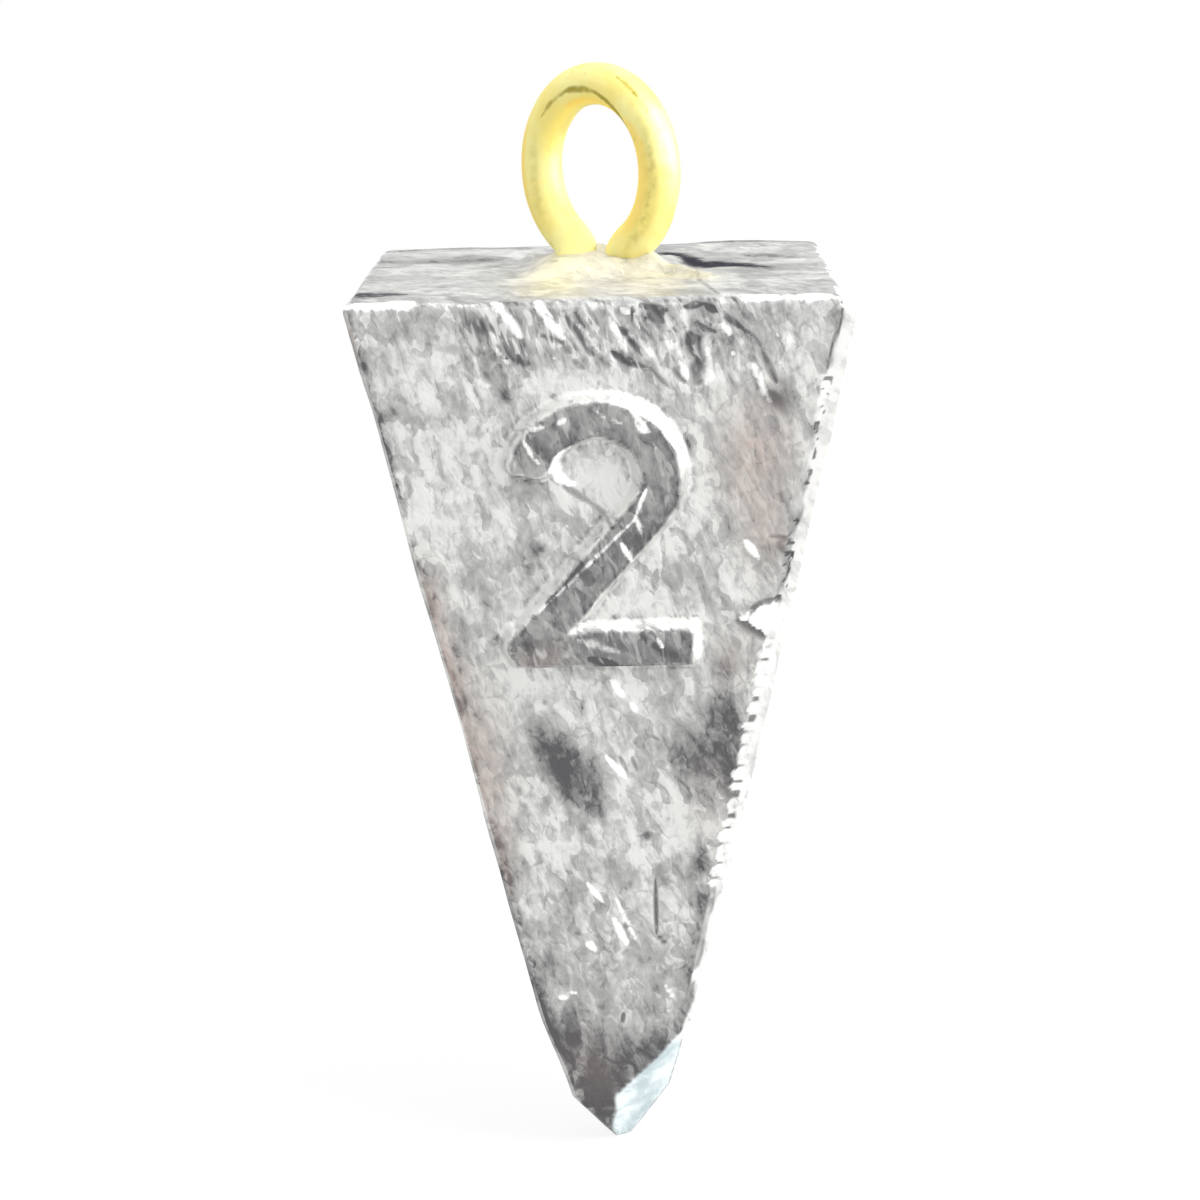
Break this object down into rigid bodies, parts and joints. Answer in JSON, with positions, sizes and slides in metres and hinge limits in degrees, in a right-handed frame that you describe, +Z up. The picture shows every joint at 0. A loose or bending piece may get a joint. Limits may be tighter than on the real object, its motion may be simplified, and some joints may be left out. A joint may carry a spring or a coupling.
{
  "type": "fishing sinker",
  "caption": "Cast lead pyramid fishing sinker with a raised weight number, a cast-in brass wire eye in its flat top and a blunt point at the bottom.",
  "frame": {"origin": "middle of the wire eye's hole, where the line or clip pulls", "axes": "+Z up along the body's axis from its point to its eye, -Y out of the face with the weight number, +X to that face's right; the eye's hole runs along the diagonal between +X and +Y"},
  "size_m": [0.0195, 0.0195, 0.0442],
  "materials": {
    "lead": "satin",
    "brass_wire": "satin"
  },
  "bodies": {
    "root": {"lead_body": "lead", "wire_eye": "brass_wire"}
  },
  "joints": []
}
